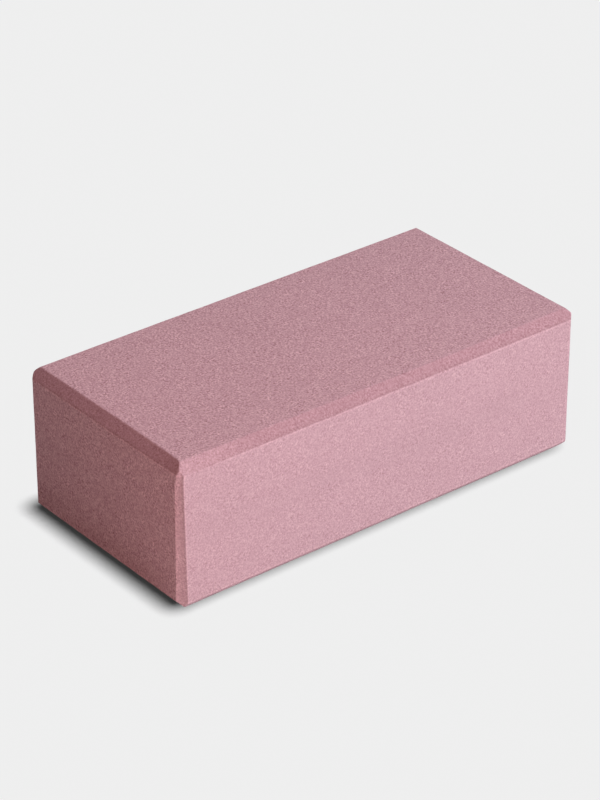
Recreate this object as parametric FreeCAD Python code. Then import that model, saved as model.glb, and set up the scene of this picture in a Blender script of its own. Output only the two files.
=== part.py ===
import FreeCAD, Part
import os

# Yoga block: two pressed foam sheets glued face to face, sawn to size and bevelled along every edge.
# Millimetres. X runs along the length, Y across the width, Z up from the base at Z = 0.

# Driving dimensions
LENGTH = 230.0
WIDTH = 114.5
LOWER_SHEET = 36.9
UPPER_SHEET = 36.9
BOND_FILM = 0.2

# Setbacks of the bevels, measured along each of the two faces that a bevel takes the edge from
TOP_BEVEL = 4.5
BASE_BEVEL = 4.5
CORNER_BEVEL = 4.5

# The upright bevel at the front left corner was cut shallower, and it widens towards the foot
FRONT_CORNER_TOP_ON_SIDE = 1.6
FRONT_CORNER_TOP_ON_END = 3.9
FRONT_CORNER_FOOT_ON_SIDE = 3.0
FRONT_CORNER_FOOT_ON_END = 5.0

HEIGHT = LOWER_SHEET + BOND_FILM + UPPER_SHEET
HALF_LENGTH = LENGTH / 2
HALF_WIDTH = WIDTH / 2


def closed_wire(points):
    return Part.makePolygon(points + points[:1])


def prism(points, direction):
    return Part.Face(closed_wire(points)).extrude(direction)


def plan_prism():
    """The sawn block with its regular upright bevels, the front left corner still sharp."""
    outline = [
        (-HALF_LENGTH, -HALF_WIDTH),
        (HALF_LENGTH - CORNER_BEVEL, -HALF_WIDTH),
        (HALF_LENGTH, -HALF_WIDTH + CORNER_BEVEL),
        (HALF_LENGTH, HALF_WIDTH - CORNER_BEVEL),
        (HALF_LENGTH - CORNER_BEVEL, HALF_WIDTH),
        (-HALF_LENGTH + CORNER_BEVEL, HALF_WIDTH),
        (-HALF_LENGTH, HALF_WIDTH - CORNER_BEVEL),
    ]
    return prism([FreeCAD.Vector(x, y, 0) for x, y in outline], FreeCAD.Vector(0, 0, HEIGHT))


def front_corner_section(z, on_side, on_end):
    """Triangle cut off the front left corner at one height, reaching past both faces."""
    side_point = FreeCAD.Vector(-HALF_LENGTH + on_side, -HALF_WIDTH, z)
    end_point = FreeCAD.Vector(-HALF_LENGTH, -HALF_WIDTH + on_end, z)
    outer_point = FreeCAD.Vector(-HALF_LENGTH - on_side, -HALF_WIDTH - on_end, z)
    across = end_point - side_point
    return closed_wire([outer_point, side_point - across, end_point + across])


def front_corner_waste():
    """The foam that the uneven bevel takes off the front left corner, ruled from foot to top."""
    foot = front_corner_section(0, FRONT_CORNER_FOOT_ON_SIDE, FRONT_CORNER_FOOT_ON_END)
    top = front_corner_section(HEIGHT, FRONT_CORNER_TOP_ON_SIDE, FRONT_CORNER_TOP_ON_END)
    return Part.makeLoft([foot, top], True, True)


def upright_outline(half_span):
    """Distance from the middle and height of a section through the top and base bevels."""
    return [
        (-half_span + BASE_BEVEL, 0),
        (half_span - BASE_BEVEL, 0),
        (half_span, BASE_BEVEL),
        (half_span, HEIGHT - TOP_BEVEL),
        (half_span - TOP_BEVEL, HEIGHT),
        (-half_span + TOP_BEVEL, HEIGHT),
        (-half_span, HEIGHT - TOP_BEVEL),
        (-half_span, BASE_BEVEL),
    ]


def bevelled_block():
    """The whole block: where the three bevelled sections meet, their bevels end in mitred corners."""
    side_points = [FreeCAD.Vector(x, -HALF_WIDTH, z) for x, z in upright_outline(HALF_LENGTH)]
    side = prism(side_points, FreeCAD.Vector(0, WIDTH, 0))
    end_points = [FreeCAD.Vector(-HALF_LENGTH, y, z) for y, z in upright_outline(HALF_WIDTH)]
    end = prism(end_points, FreeCAD.Vector(LENGTH, 0, 0))
    return plan_prism().common(side).common(end).cut(front_corner_waste())


def layer(block, foot, thickness):
    """The slice of the block that one sheet or the film takes up."""
    corner = FreeCAD.Vector(-HALF_LENGTH, -HALF_WIDTH, foot)
    return block.common(Part.makeBox(LENGTH, WIDTH, thickness, corner))


def main():
    block = bevelled_block()
    stack = [
        ("lower_foam_sheet", LOWER_SHEET),
        ("bond_film", BOND_FILM),
        ("upper_foam_sheet", UPPER_SHEET),
    ]
    os.makedirs("parts", exist_ok=True)
    foot = 0.0
    for node, thickness in stack:
        piece = layer(block, foot, thickness)
        piece.exportStep(f"parts/{node}.step")
        print(node, "solids:", len(piece.Solids), "valid:", piece.isValid(), "mm3:", round(piece.Volume, 1))
        foot += thickness


main()
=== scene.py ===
import math
from collections import namedtuple
from itertools import product

import bpy
import numpy as np
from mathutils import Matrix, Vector


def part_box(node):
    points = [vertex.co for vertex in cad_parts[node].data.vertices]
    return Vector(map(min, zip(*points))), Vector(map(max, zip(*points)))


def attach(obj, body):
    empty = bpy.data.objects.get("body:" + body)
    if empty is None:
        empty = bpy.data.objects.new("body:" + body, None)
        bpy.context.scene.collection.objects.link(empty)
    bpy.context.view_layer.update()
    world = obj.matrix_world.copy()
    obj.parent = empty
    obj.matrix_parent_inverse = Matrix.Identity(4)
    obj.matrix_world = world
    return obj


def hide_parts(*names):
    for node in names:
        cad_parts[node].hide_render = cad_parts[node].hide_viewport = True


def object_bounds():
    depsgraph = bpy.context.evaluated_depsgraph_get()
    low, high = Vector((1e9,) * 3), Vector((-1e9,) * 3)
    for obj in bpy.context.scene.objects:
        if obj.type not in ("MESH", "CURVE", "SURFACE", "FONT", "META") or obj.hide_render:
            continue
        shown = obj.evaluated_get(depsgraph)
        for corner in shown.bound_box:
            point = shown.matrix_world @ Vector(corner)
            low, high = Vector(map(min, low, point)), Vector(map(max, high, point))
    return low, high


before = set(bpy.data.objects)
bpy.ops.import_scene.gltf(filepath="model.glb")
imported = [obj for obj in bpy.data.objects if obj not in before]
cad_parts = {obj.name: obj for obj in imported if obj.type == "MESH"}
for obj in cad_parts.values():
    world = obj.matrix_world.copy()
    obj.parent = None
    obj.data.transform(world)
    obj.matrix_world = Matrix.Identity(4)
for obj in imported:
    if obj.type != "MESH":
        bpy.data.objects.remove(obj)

# Yoga block: two sheets of fine-celled rose foam on each other, with routed bevels along every edge.
# Metres. X runs along the length, Y across the width to the back, Z up from the floor at Z = 0.

cad_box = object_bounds()
MM = 0.001

# The bevels of the solids: how far each one is set back along the two faces beside it
TOP_BEVEL = 4.5 * MM
BASE_BEVEL = 4.5 * MM
CORNER_BEVEL = 4.5 * MM

# The three bevels at the front left corner stray most from that. Each line gives shares of the way along
# an edge, up from the base or away from that corner, and the setback there in millimetres
CORNER_ON_SIDE = {0.0: 3.0, 0.85: 1.8, 0.94: 2.1, 1.0: 3.4}
CORNER_ON_END = {0.0: 5.0, 0.85: 4.1, 0.94: 2.7, 1.0: 5.2}
FRONT_ON_TOP = {0.0: 5.2, 0.04: 4.8, 0.12: 4.6, 0.35: 4.1, 0.55: 3.75, 0.7: 3.75, 0.85: 4.1, 1.0: 4.5}
LEFT_ON_TOP = {0.0: 3.3, 0.06: 3.8, 0.14: 4.3, 0.3: 4.6, 0.6: 4.7, 1.0: 4.6}

# How much burnish and painted edge highlight the bevel along the front top edge has, at shares of the way
# from that corner
FRONT_FINISH = {0.0: 0.15, 0.05: 0.45, 0.2: 1.0}

TIP_WEAR = 0.5 * MM  # how far the pointed tips of the bevels are worn down
EDGE_ROUNDING = 0.14 * MM  # how softly one cut face runs into the next
ROUTER_WANDER = 0.07 * MM  # how far a bevel strays from its line
WANDER_WAVES = (95 * MM, 41 * MM, 17 * MM)
WANDER_SHARES = (0.4, 1.0)  # least and greatest share of one wave
LEVEL_BEVELS = 8  # the bevels along the base and the top, which take the first seeds
EDGE_ZONE = 8.0 * MM  # width along each edge of the block that has the fine grid
EDGE_PITCH = 0.25 * MM
FACE_PITCH = 2.0 * MM
SHARP_ANGLE = math.radians(50)
LEAST_RAY = 1e-9  # length below which a point has no ray, and stays
LEAST_TURN = 1e-3  # a ray that turns less than this towards a cut does not meet it
NOT_MET = 1.0  # length, beyond any in the block, for a cut that is not met
PLACE_DIGITS = 7  # decimals that tell two vertices apart

# How strongly the router has darkened the bevels, 0 for none and 1 for ROUTED_TINT
TOP_BURNISH = 1.0
OTHER_BURNISH = 0.0
ROUTED_TINT = (0.785, 0.715, 0.725)

# Painted highlights and painted shade lines beside the edges of the bevels: distances from the edge, below
# zero on the bevel, and for each kind of bevel and face the factors there
EDGE_SHADING_PLACES = np.array([-2.0, -0.9, -0.2, 0.2, 0.6, 1.2]) * MM
EDGE_SHADING_TONES = {
    ("level", "side"): (1.0, 0.96, 0.86, 1.13, 1.11, 1.0),
    ("level", "end"): (1.0, 0.97, 0.90, 1.15, 1.13, 1.0),
    ("upright", "side"): (1.0, 0.92, 0.86, 1.08, 1.06, 1.0),
    ("upright", "end"): (1.06, 1.19, 1.28, 0.93, 0.96, 1.0),
}
EDGE_SHADING_DEPTH = 0.4 * MM  # a point counts as on a cut up to this far below it

# Foam: its colour, the sizes of its grain, and how much each size of grain changes the tone
ROSE = (0.536, 0.329, 0.379)
CELL = 0.45 * MM
SPECK = 0.85 * MM
BLOTCH = 2.5 * MM
MOTTLE = 6.0 * MM
CLOUD = 35.0 * MM
CELL_CONTRAST = 0.25
SPECK_CONTRAST = 0.86
BLOTCH_CONTRAST = 0.27
CLOUD_CONTRAST = 0.08
GRAIN_TINT = (0.85, 1.10, 1.05)  # strength of the grain in red, green and blue: dark specks are deeper rose
RELIEF = 0.1 * MM  # depth of the bump
CELL_RELIEF = -0.5  # height of the cells beside that of the specks
TURN = (0.6, 0.9, 0.4)  # keeps the grid of the noise off the faces of the block

# Middle values of the two kinds of noise, and how far the mottle changes the strength of the specks
NOISE_MIDDLE = 0.5
CELL_MIDDLE = 0.45
MOTTLE_RANGE = (0.3, 0.7)
MOTTLE_FACTORS = (0.75, 1.25)

# Gloss of the foam, rougher in its dark specks than in its light ones and smoother where it is burnished
SPECK_RANGE = (0.2, 0.8)
SPECK_ROUGHNESS = (0.96, 0.86)
BURNISH_GLOSS = 0.1
SPECULAR = 0.2

# Bond film
BOND_TONES = (0.85, 1.1)
BOND_ROUGHNESS = 0.8

# How strong the specks and the blotches are on each kind of cut. The stronger specks on the top and the
# ends are partly real grain and partly painted shade, from light grazing their bumps
SPECKS_ON = {"flat": 1.7, "side": 1.0, "end": 1.75, "level": 1.1, "upright": 1.1}
BLOTCHES_ON = {"flat": 0.0, "side": 0.0, "end": 1.0, "level": 0.3, "upright": 0.3}

# Smoother, darker band where the skins of the two sheets meet
BAND_HEIGHT = 37.5 * MM
BAND_EDGE = (4 * MM, 9 * MM)
BAND_TONE = 0.98
BAND_GRAIN = 0.85

# Lamps of the block. Azimuth 0 is in front of the long side and 90 to the right of it. The light of the
# bounced ones also comes back from the floor
Lamp = namedtuple("Lamp", "name azimuth elevation level colour distance size bounced")
WHITE = (1.0, 1.0, 1.0)
WARM = (1.0, 0.453, 0.342)
LAMPS = [
    Lamp("key", -2.6, 4.5, 0.452, WHITE, 2.58, 0.8, True),
    Lamp("top", 62.2, 61.3, 0.103, WHITE, 5.1, 1.6, True),
    Lamp("side", 35.5, 54.1, 0.678, WHITE, 1.23, 0.5, True),
    Lamp("fill", -72.0, 67.6, 0.156, WARM, 0.545, 0.3, False),
    Lamp("low", -61.4, 2.05, 0.128, WARM, 0.451, 0.1, False),
    Lamp("back", 160.0, 3.0, 0.600, WHITE, 3.0, 1.5, True),
]
AMBIENT = 0.04

# Floor: the paper that is seen, and the unseen one that throws the light of the bounced lamps back up
PAPER = (0.9, 0.9, 0.9)
PAPER_BOUNCE = (0.868, 0.838, 0.808)
BOUNCE_DROP = 0.5 * MM  # how far the unseen floor lies below the seen one
FLOOR_HALF = 12.0

# Lamp of the seen floor. It stands almost overhead, tilted by these degrees to the right and to the front
FLOOR_LIGHT = 2.905
FLOOR_LIGHT_ANGLE = 18.5
FLOOR_LIGHT_DISTANCE = 3.0
FLOOR_TILT_RIGHT = 5.4
FLOOR_TILT_FRONT = 6.3

# Camera
VIEW_AZIMUTH = -38.75
VIEW_ELEVATION = 29.78
VIEW_DISTANCE = 1.4539
VIEW_AIM = Vector((1.77, 7.17, 37.0)) * MM
VIEW_LENS = 141.63


# Shape of the block

# One cut that bounds the block, with a value for each point: its outward normal, its distance from the
# origin, how burnished it is and how strong its painted edge highlights and shade lines are
Cut = namedtuple("Cut", "kind normal distance burnish lip")


def along(run, share):
    """Value of a run at shares of the way along its edge."""
    return np.interp(share, list(run), list(run.values()))


def wander(place, seed):
    """Slow drift of a router pass along its edge."""
    draw = np.random.default_rng(seed)
    total = np.zeros_like(place)
    for wave in WANDER_WAVES:
        share = draw.uniform(*WANDER_SHARES)
        phase = draw.uniform(0, 2 * np.pi)
        total += share * np.sin(2 * np.pi * place / wave + phase)
    return ROUTER_WANDER * total / len(WANDER_WAVES)


def make_cut(points, kind, normal, through, burnish=OTHER_BURNISH, finish=1.0, seed=None):
    """A cut with this normal through this place. One with a seed drifts along its edge."""
    normal = np.broadcast_to(np.asarray(normal, float), points.shape)
    normal = normal / np.linalg.norm(normal, axis=1, keepdims=True)
    distance = (normal * through).sum(1)
    if seed is not None:
        edge = int(np.argmin(np.abs(normal[0])))
        distance = distance + wander(points[:, edge], seed)
    # finish scales both the burnish and the painted edge highlights
    finish = finish * np.ones(len(points))
    return Cut(kind, normal, distance, burnish * finish, finish)


def face_cuts(points, low, high):
    """The six flat faces."""
    cuts = []
    for axis, kind in enumerate(("end", "side", "flat")):
        for sign, corner in ((-1, low), (1, high)):
            cuts.append(make_cut(points, kind, sign * np.eye(3)[axis], corner))
    return cuts


def level_cuts(points, low, high):
    """The bevels along the base and along the top."""
    cuts = []
    share = (points - low) / (high - low)
    for axis, sign, rise in product((0, 1), (-1, 1), (-1, 1)):
        on_wall, burnish = (TOP_BEVEL, TOP_BURNISH) if rise > 0 else (BASE_BEVEL, OTHER_BURNISH)
        on_flat, finish = on_wall, 1.0
        if sign < 0 < rise and axis == 0:
            on_flat = along(LEFT_ON_TOP, share[:, 1]) * MM
        elif sign < 0 < rise:
            on_flat = along(FRONT_ON_TOP, share[:, 0]) * MM
            finish = along(FRONT_FINISH, share[:, 0])
        normal = np.zeros(points.shape)
        normal[:, axis] = sign / on_flat
        normal[:, 2] = rise / on_wall
        through = (low + high) / 2
        through[axis] = (low if sign < 0 else high)[axis]
        through[2] = (low if rise < 0 else high)[2] - rise * on_wall
        cuts.append(make_cut(points, "level", normal, through, burnish, finish, seed=len(cuts)))
    return cuts


def front_corner_cut(points, low, high, seed):
    """The shallower, twisting bevel up the front left corner."""
    share = (points[:, 2] - low[2]) / (high[2] - low[2])
    on_side = along(CORNER_ON_SIDE, share) * MM
    on_end = along(CORNER_ON_END, share) * MM
    normal = np.zeros(points.shape)
    normal[:, 0] = -1 / on_side
    normal[:, 1] = -1 / on_end
    through = np.tile(low, (len(points), 1))
    through[:, 0] += on_side
    return make_cut(points, "upright", normal, through, seed=seed)


def upright_cuts(points, low, high):
    """The bevels up the four corners, and the wear of the tips where three bevels meet."""
    cuts = []
    for seed, signs in enumerate(product((-1, 1), (-1, 1)), start=LEVEL_BEVELS):
        if signs == (-1, -1):
            cuts.append(front_corner_cut(points, low, high, seed))
            continue
        for rise in (0, -1, 1):
            outward = np.array([*signs, rise], float)
            corner = np.where(outward < 0, low, high)
            through = corner - outward * CORNER_BEVEL / 2
            wear = TIP_WEAR * outward / math.sqrt(3) if rise else 0.0
            cuts.append(make_cut(points, "upright", outward, through - wear, seed=None if rise else seed))
    return cuts


def cut_to_shape(points, low, high):
    """Moves points of the block's outer box in to the bevelled block. Returns them and their attributes."""
    inner = np.clip(points, low + EDGE_ZONE, high - EDGE_ZONE)
    ray = points - inner
    ray = ray / np.maximum(np.linalg.norm(ray, axis=1, keepdims=True), LEAST_RAY)
    cuts = face_cuts(points, low, high)
    cuts += level_cuts(points, low, high)
    cuts += upright_cuts(points, low, high)
    lengths = []
    for cut in cuts:
        toward = (cut.normal * ray).sum(1)
        room = cut.distance - (cut.normal * inner).sum(1)
        length = room / np.maximum(toward, LEAST_TURN)
        lengths.append(np.where(toward > LEAST_TURN, length, NOT_MET))
    lengths = np.array(lengths)
    nearest = lengths.min(0)
    weight = np.exp(-(lengths - nearest) / EDGE_ROUNDING)
    total = weight.sum(0)
    shaped = inner + ray * (nearest - EDGE_ROUNDING * np.log(total))[:, None]
    weight = weight / total
    attributes = {
        "specks": np.array([SPECKS_ON[cut.kind] for cut in cuts]) @ weight,
        "blotches": np.array([BLOTCHES_ON[cut.kind] for cut in cuts]) @ weight,
        "burnish": (np.array([cut.burnish for cut in cuts]) * weight).sum(0),
        # painted highlights and painted shade lines along the bevel edges
        "lip": painted_edge_shading(shaped, cuts),
    }
    return shaped, attributes


def painted_edge_shading(points, cuts):
    """Painted highlights and painted shade lines along the edges of the bevels."""
    kinds = np.array([cut.kind for cut in cuts])
    lip = np.array([cut.lip for cut in cuts])
    depth = np.array([cut.distance - (cut.normal * points).sum(1) for cut in cuts])
    every = np.arange(len(points))
    tone = np.ones(len(points))
    for (bevel, face), tones in EDGE_SHADING_TONES.items():
        nearest = depth[kinds == bevel].argmin(0)
        strength = lip[kinds == bevel][nearest, every]
        below_bevel = depth[kinds == bevel].min(0)
        below_face = depth[kinds == face].min(0)
        from_edge = (below_bevel - below_face) * math.sqrt(2)
        on_cut = np.minimum(below_bevel, below_face) < EDGE_SHADING_DEPTH
        change = np.interp(from_edge, EDGE_SHADING_PLACES, tones) - 1
        tone *= 1 + np.where(on_cut, change * strength, 0)
    return tone


# Mesh of the foam sheets

def grid_lines(low, high):
    """Places of the grid lines along one axis, close together beside both ends."""
    edge = np.arange(0, EDGE_ZONE, EDGE_PITCH)
    count = round((high - low - 2 * EDGE_ZONE) / FACE_PITCH)
    middle = np.linspace(low + EDGE_ZONE, high - EDGE_ZONE, count + 1)
    return np.concatenate([low + edge, middle, (high - edge)[::-1]])


def sheet_grid(low, high, foot, head):
    """Vertices on the outer box between two heights, their faces, and the rim of the bond face."""
    xs, ys = grid_lines(low[0], high[0]), grid_lines(low[1], high[1])
    zs = grid_lines(low[2], high[2])
    zs = np.concatenate([[foot], zs[(zs > foot + EDGE_PITCH) & (zs < head - EDGE_PITCH)], [head]])
    found, points, faces = {}, [], []

    def vertex(x, y, z):
        key = tuple(round(value, PLACE_DIGITS) for value in (x, y, z))
        if key not in found:
            found[key] = len(points)
            points.append(key)
        return found[key]

    def patch(us, vs, place, flip):
        index = [[vertex(*place(u, v)) for v in vs] for u in us]
        for i in range(len(us) - 1):
            for j in range(len(vs) - 1):
                quad = [index[i][j], index[i + 1][j], index[i + 1][j + 1], index[i][j + 1]]
                faces.append(quad[::-1] if flip else quad)

    patch(xs, zs, lambda x, z: (x, low[1], z), False)
    patch(xs, zs, lambda x, z: (x, high[1], z), True)
    patch(ys, zs, lambda y, z: (low[0], y, z), True)
    patch(ys, zs, lambda y, z: (high[0], y, z), False)
    at_base = foot == low[2]
    level = low[2] if at_base else high[2]
    patch(xs, ys, lambda x, y: (x, y, level), at_base)
    seam = head if at_base else foot
    rim = [vertex(x, low[1], seam) for x in xs]
    rim += [vertex(high[0], y, seam) for y in ys[1:]]
    rim += [vertex(x, high[1], seam) for x in xs[-2::-1]]
    rim += [vertex(low[0], y, seam) for y in ys[-2:0:-1]]
    rim = rim if at_base else rim[::-1]
    middle = vertex(*(low[:2] + high[:2]) / 2, seam)
    faces += [[first, second, middle] for first, second in zip(rim, rim[1:] + rim[:1])]
    return np.array(points), faces, rim


def foam_sheet(name, node, material):
    """One foam sheet in the place of its solid, cut to the bevelled block."""
    low, high = (np.array(corner) for corner in cad_box)
    foot, head = (corner[2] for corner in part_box(node))
    points, faces, rim = sheet_grid(low, high, float(foot), float(head))
    shaped, attributes = cut_to_shape(points, low, high)
    on_seam = np.zeros(len(points), bool)
    on_seam[rim] = True
    shaped[on_seam, 2] = points[on_seam, 2]
    mesh = bpy.data.meshes.new(name)
    mesh.from_pydata(shaped.tolist(), [], faces)
    for key, values in attributes.items():
        attribute = mesh.attributes.new(key, "FLOAT", "POINT")
        attribute.data.foreach_set("value", values.astype(np.float32))
    mesh.shade_smooth()
    mesh.set_sharp_from_angle(angle=SHARP_ANGLE)
    mesh.materials.append(material)
    mesh.validate()
    piece = bpy.data.objects.new(name, mesh)
    bpy.context.scene.collection.objects.link(piece)
    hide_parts(node)
    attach(piece, "root")
    return piece


# Materials

class Nodes:
    """Adds nodes to a material and joins them."""

    def __init__(self, material):
        material.use_nodes = True
        self.tree = material.node_tree
        self.tree.nodes.clear()

    def feed(self, socket, value):
        if isinstance(value, bpy.types.NodeSocket):
            self.tree.links.new(value, socket)
        else:
            socket.default_value = value

    def add(self, kind, inputs=None, **settings):
        node = self.tree.nodes.new(kind)
        for name, value in settings.items():
            setattr(node, name, value)
        for name, value in (inputs or {}).items():
            self.feed(node.inputs[name], value)
        return node

    def math(self, operation, first, second):
        node = self.add("ShaderNodeMath", {0: first, 1: second}, operation=operation)
        return node.outputs["Value"]

    def times(self, first, second):
        return self.math("MULTIPLY", first, second)

    def plus(self, first, second):
        return self.math("ADD", first, second)

    def minus(self, first, second):
        return self.math("SUBTRACT", first, second)

    def ramp(self, value, places, low, high):
        inputs = {"Value": value, "To Min": low, "To Max": high}
        inputs["From Min"], inputs["From Max"] = places
        node = self.add("ShaderNodeMapRange", inputs, interpolation_type="SMOOTHSTEP")
        return node.outputs["Result"]

    def mix(self, factor, first, second):
        node = self.tree.nodes.new("ShaderNodeMix")
        node.data_type = "RGBA"
        for index, value in ((0, factor), (6, first), (7, second)):
            self.feed(node.inputs[index], value)
        return node.outputs[2]

    def vector_math(self, operation, inputs):
        node = self.add("ShaderNodeVectorMath", inputs, operation=operation)
        return node.outputs["Vector"]

    def scaled(self, colour, factor):
        return self.vector_math("SCALE", {"Vector": colour, "Scale": factor})

    def grained(self, colour, grain):
        change = self.scaled(GRAIN_TINT, grain)
        factor = self.vector_math("ADD", {0: change, 1: WHITE})
        return self.vector_math("MULTIPLY", {0: colour, 1: factor})

    def noise(self, place, size, detail=0.0):
        inputs = {"Vector": place, "Scale": 1 / size, "Detail": detail}
        return self.add("ShaderNodeTexNoise", inputs).outputs["Fac"]

    def attribute(self, name):
        return self.add("ShaderNodeAttribute", attribute_name=name).outputs["Fac"]

    def finish(self, shader):
        output = self.add("ShaderNodeOutputMaterial")
        self.tree.links.new(shader.outputs["BSDF"], output.inputs["Surface"])


def rgba(colour, factors=WHITE):
    return tuple(c * f for c, f in zip(colour, factors)) + (1.0,)


def foam_grain(n, place, off_band, cells, specks):
    """Fine light and dark of the foam, about zero: specks, pits and blotches."""
    contrast = n.ramp(off_band, BAND_EDGE, BAND_GRAIN * SPECK_CONTRAST, SPECK_CONTRAST)
    contrast = n.times(contrast, n.attribute("specks"))
    mottle = n.ramp(n.noise(place, MOTTLE, detail=1.0), MOTTLE_RANGE, *MOTTLE_FACTORS)
    contrast = n.times(contrast, mottle)
    speckle = n.times(n.minus(specks, NOISE_MIDDLE), contrast)
    pits = n.times(n.minus(cells, CELL_MIDDLE), -CELL_CONTRAST)
    strength = n.times(n.attribute("blotches"), BLOTCH_CONTRAST)
    blotches = n.times(n.minus(n.noise(place, BLOTCH), NOISE_MIDDLE), strength)
    return n.plus(n.plus(speckle, pits), blotches)


def foam_tone(n, place, off_band):
    """Slow changes of the foam's tone, as a factor: clouds, the band and the painted edge highlights and
    shade lines.
    """
    clouds = n.times(n.minus(n.noise(place, CLOUD, detail=2.0), NOISE_MIDDLE), CLOUD_CONTRAST)
    tone = n.times(n.plus(clouds, 1.0), n.ramp(off_band, BAND_EDGE, BAND_TONE, 1.0))
    # multiplies in the painted highlights and shade lines along the bevel edges
    return n.times(tone, n.attribute("lip"))


def foam_material():
    material = bpy.data.materials.new("rose_foam")
    n = Nodes(material)
    place = n.add("ShaderNodeTexCoord").outputs["Object"]
    height = n.add("ShaderNodeSeparateXYZ", {"Vector": place}).outputs["Z"]
    off_band = n.math("ABSOLUTE", n.minus(height, BAND_HEIGHT), 0.0)
    place = n.add("ShaderNodeMapping", {"Vector": place, "Rotation": TURN}).outputs["Vector"]
    cells = n.add("ShaderNodeTexVoronoi", {"Vector": place, "Scale": 1 / CELL}).outputs["Distance"]
    specks = n.noise(place, SPECK, detail=1.0)
    burnish = n.attribute("burnish")
    colour = n.mix(burnish, rgba(ROSE), rgba(ROSE, ROUTED_TINT))
    colour = n.scaled(colour, foam_tone(n, place, off_band))
    colour = n.grained(colour, foam_grain(n, place, off_band, cells, specks))
    roughness = n.ramp(specks, SPECK_RANGE, *SPECK_ROUGHNESS)
    roughness = n.minus(roughness, n.times(burnish, BURNISH_GLOSS))
    relief = n.plus(n.times(cells, CELL_RELIEF), specks)
    bump = n.add("ShaderNodeBump", {"Height": relief, "Strength": 1.0, "Distance": RELIEF})
    n.finish(n.add("ShaderNodeBsdfPrincipled", {
        "Base Color": colour,
        "Normal": bump.outputs["Normal"],
        "Roughness": roughness,
        "Specular IOR Level": SPECULAR,
    }))
    return material


def bond_material():
    material = bpy.data.materials.new("bond_film")
    n = Nodes(material)
    place = n.add("ShaderNodeTexCoord").outputs["Object"]
    dark, light = (rgba(ROSE, (tone, tone, tone)) for tone in BOND_TONES)
    colour = n.mix(n.noise(place, SPECK, detail=2.0), dark, light)
    n.finish(n.add("ShaderNodeBsdfPrincipled", {"Base Color": colour, "Roughness": BOND_ROUGHNESS}))
    return material


def paper_material(name, colour):
    material = bpy.data.materials.new(name)
    n = Nodes(material)
    n.finish(n.add("ShaderNodeBsdfDiffuse", {"Color": rgba(colour)}))
    return material


# Stage

def make_floor(name, colour, seen):
    """A sheet of paper under the block. One that is not seen only throws light back up."""
    corners = [(x * FLOOR_HALF, y * FLOOR_HALF, 0) for x, y in ((-1, -1), (1, -1), (1, 1), (-1, 1))]
    mesh = bpy.data.meshes.new(name)
    mesh.from_pydata(corners, [], [range(4)])
    mesh.materials.append(paper_material(name, colour))
    floor = bpy.data.objects.new(name, mesh)
    floor.location.z = 0.0 if seen else -BOUNCE_DROP
    floor.visible_camera = seen
    floor.visible_glossy = seen
    floor.visible_transmission = seen
    floor.visible_diffuse = not seen
    floor.visible_shadow = False
    bpy.context.scene.collection.objects.link(floor)
    return floor


def direction(azimuth, elevation):
    """Unit vector from the block towards a place."""
    a, e = math.radians(azimuth), math.radians(elevation)
    return Vector((math.sin(a) * math.cos(e), -math.cos(a) * math.cos(e), math.sin(e)))


def group(name, members):
    collection = bpy.data.collections.new(name)
    for member in members:
        collection.objects.link(member)
    return collection


def place_light(data, towards, distance, lit):
    """Turns a light to the block and lets it light only the objects in lit."""
    light = bpy.data.objects.new(data.name, data)
    light.location = VIEW_AIM + towards * distance
    light.rotation_euler = towards.to_track_quat("Z", "Y").to_euler()
    light.visible_camera = False
    bpy.context.scene.collection.objects.link(light)
    light.light_linking.receiver_collection = group(data.name + "_lights", lit)
    return light


def softbox(lamp, lit):
    """A round area light. At level 1, a white face that looks straight at it renders white."""
    data = bpy.data.lights.new(lamp.name, "AREA")
    data.shape = "DISK"
    data.size = lamp.size
    data.energy = lamp.level * (math.pi * lamp.distance) ** 2
    data.color = lamp.colour
    place_light(data, direction(lamp.azimuth, lamp.elevation), lamp.distance, lit)


def floor_lamp(floor, casters):
    """The light of the floor, shaded by the casters only."""
    data = bpy.data.lights.new("floor_light", "SUN")
    data.energy = FLOOR_LIGHT
    data.angle = math.radians(FLOOR_LIGHT_ANGLE)
    right = math.tan(math.radians(FLOOR_TILT_RIGHT))
    front = math.tan(math.radians(FLOOR_TILT_FRONT))
    towards = Vector((right, -front, 1)).normalized()
    light = place_light(data, towards, FLOOR_LIGHT_DISTANCE, [floor])
    light.light_linking.blocker_collection = group("floor_light_casters", casters)


def make_world():
    world = bpy.data.worlds.new("studio")
    bpy.context.scene.world = world
    world.use_nodes = True
    background = world.node_tree.nodes["Background"]
    background.inputs["Color"].default_value = rgba(WHITE)
    background.inputs["Strength"].default_value = AMBIENT


def make_camera():
    data = bpy.data.cameras.new("camera")
    data.lens = VIEW_LENS
    camera = bpy.data.objects.new("camera", data)
    back = direction(VIEW_AZIMUTH, VIEW_ELEVATION)
    camera.location = VIEW_AIM + back * VIEW_DISTANCE
    camera.rotation_euler = back.to_track_quat("Z", "Y").to_euler()
    bpy.context.scene.collection.objects.link(camera)
    bpy.context.scene.camera = camera


foam = foam_material()
lower = foam_sheet("lower_sheet", "lower_foam_sheet", foam)
upper = foam_sheet("upper_sheet", "upper_foam_sheet", foam)
film = bpy.data.objects["bond_film"]
for slot in film.material_slots:
    slot.material = bond_material()
block = [lower, upper, film]
for piece in block:
    piece.visible_diffuse = False  # keeps its colour off the pale floor
floor = make_floor("floor", PAPER, True)
bounce = make_floor("floor_bounce", PAPER_BOUNCE, False)
for lamp in LAMPS:
    softbox(lamp, block + [bounce] if lamp.bounced else block)
floor_lamp(floor, [film])
make_world()
make_camera()
bpy.context.scene.view_settings.view_transform = "Standard"
